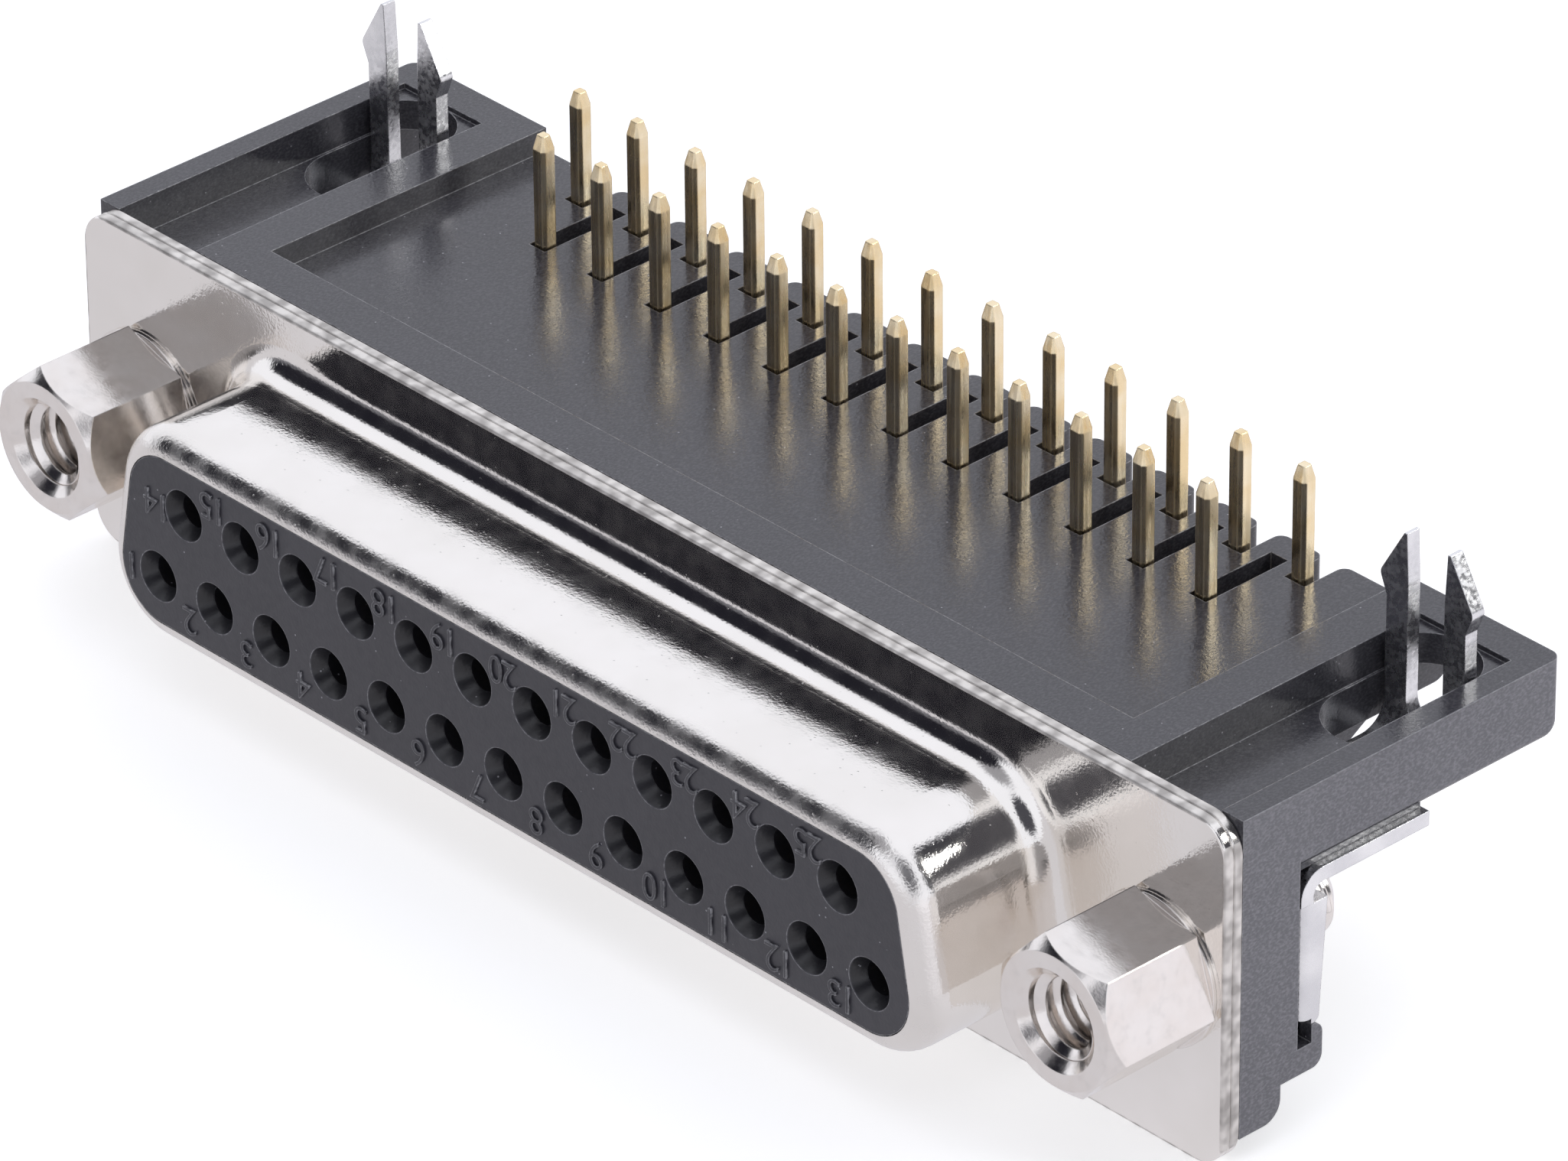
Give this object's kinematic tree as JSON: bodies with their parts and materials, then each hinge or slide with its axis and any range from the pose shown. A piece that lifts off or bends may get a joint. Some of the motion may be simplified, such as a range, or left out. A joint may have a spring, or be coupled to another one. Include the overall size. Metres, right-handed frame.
{
  "type": "right-angle d-sub socket connector",
  "caption": "Right-angle board-mount D-sub socket: drawn metal shell, black insulator, bent gold contacts, hexagonal screwlocks and barbed board locks on a moulded angle bracket.",
  "frame": {"origin": "middle of the mating face, at the front rim of the shell, half way between the two contact rows", "axes": "+X along the contact rows towards the thirteenth contact, +Y from the mating face towards the rear, +Z towards the circuit board, the way the solder tails point"},
  "size_m": [0.0528, 0.0199, 0.0162],
  "materials": {
    "shell_nickel": "satin nickel plate",
    "insulator_black": "moulded, matt",
    "bracket_black": "glass-filled, fine grain",
    "screwlock_nickel": "bright nickel plate",
    "lock_tin": "bright tin plate",
    "contact_gold": "flash gold over nickel"
  },
  "bodies": {
    "root": {"front_shell": "shell_nickel", "rear_shell": "shell_nickel", "front_insulator": "insulator_black", "rear_insulator": "insulator_black", "angle_bracket": "bracket_black", "screwlock_left": "screwlock_nickel", "screwlock_right": "screwlock_nickel", "board_lock_left": "lock_tin", "board_lock_right": "lock_tin", "contact_01": "contact_gold", "contact_02": "contact_gold", "contact_03": "contact_gold", "contact_04": "contact_gold", "contact_05": "contact_gold", "contact_06": "contact_gold", "contact_07": "contact_gold", "contact_08": "contact_gold", "contact_09": "contact_gold", "contact_10": "contact_gold", "contact_11": "contact_gold", "contact_12": "contact_gold", "contact_13": "contact_gold", "contact_14": "contact_gold", "contact_15": "contact_gold", "contact_16": "contact_gold", "contact_17": "contact_gold", "contact_18": "contact_gold", "contact_19": "contact_gold", "contact_20": "contact_gold", "contact_21": "contact_gold", "contact_22": "contact_gold", "contact_23": "contact_gold", "contact_24": "contact_gold", "contact_25": "contact_gold"}
  },
  "joints": []
}
